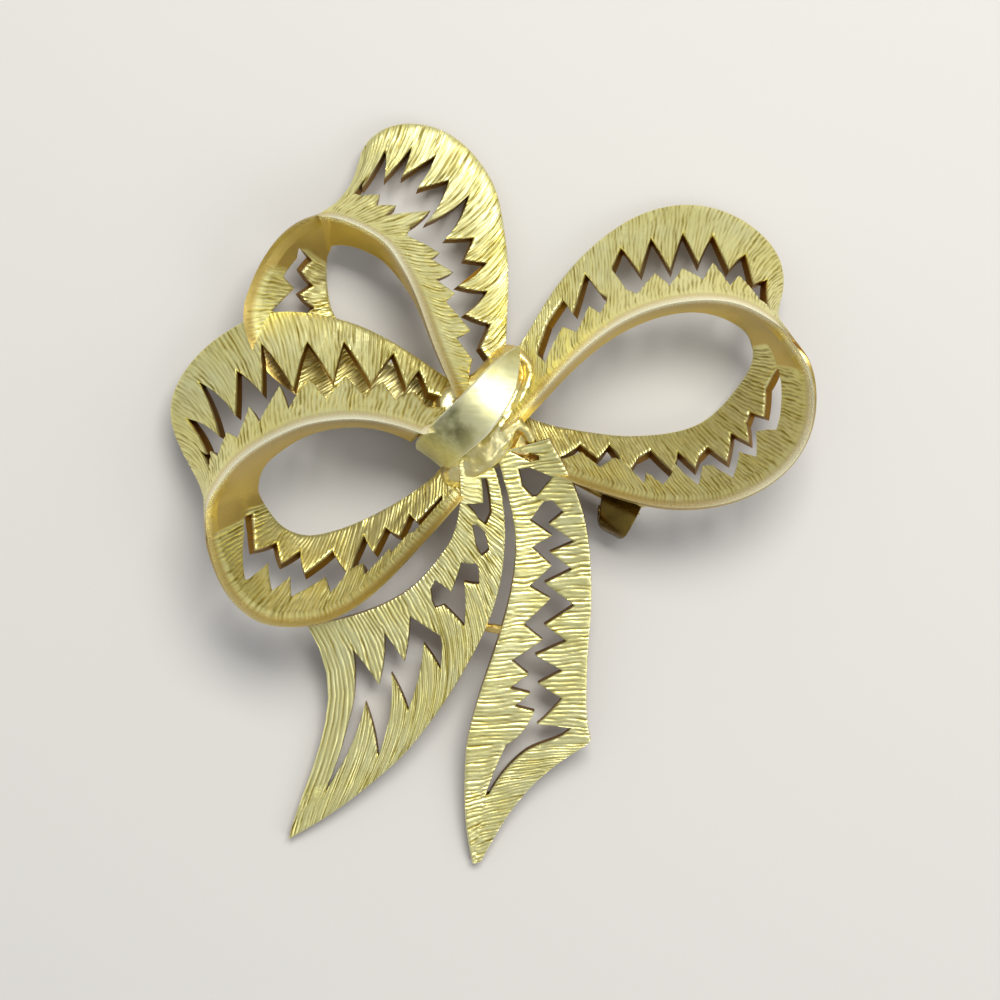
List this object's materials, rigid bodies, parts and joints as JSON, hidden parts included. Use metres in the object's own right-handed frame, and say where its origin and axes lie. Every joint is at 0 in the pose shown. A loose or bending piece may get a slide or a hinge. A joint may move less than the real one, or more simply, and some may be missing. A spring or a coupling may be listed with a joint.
{
  "type": "bow brooch",
  "caption": "Cast, pierced ribbon bow brooch with textured loops and tails, a smooth knot band, and a hinged pin with a catch on the back.",
  "frame": {"origin": "middle of the footprint, on the surface the brooch lies on", "axes": "+Y up as worn, from the tails to the upper loop; +Z out of the front, away from the pin; +X to the right seen from the front"},
  "size_m": [0.0564, 0.0662, 0.0111],
  "materials": {
    "textured_gold": "gold plated, engraved with fine strokes, rims polished",
    "satin_gold": "gold plated, satin polished",
    "findings_gold": "gold plated, smooth"
  },
  "bodies": {
    "brooch": {"bow": "textured_gold", "knot_band": "satin_gold", "hinge_bracket": "findings_gold", "hinge_rivet": "findings_gold", "catch": "findings_gold"},
    "pin": {"pin_stem": "findings_gold"}
  },
  "joints": [
    {"name": "pin_hinge", "type": "hinge", "parent": "brooch", "child": "pin", "pos_m": [-0.00154, 0.00615, 0.00201], "axis": [0.4709, 0.8822, 0], "range_deg": [0, 90]}
  ]
}
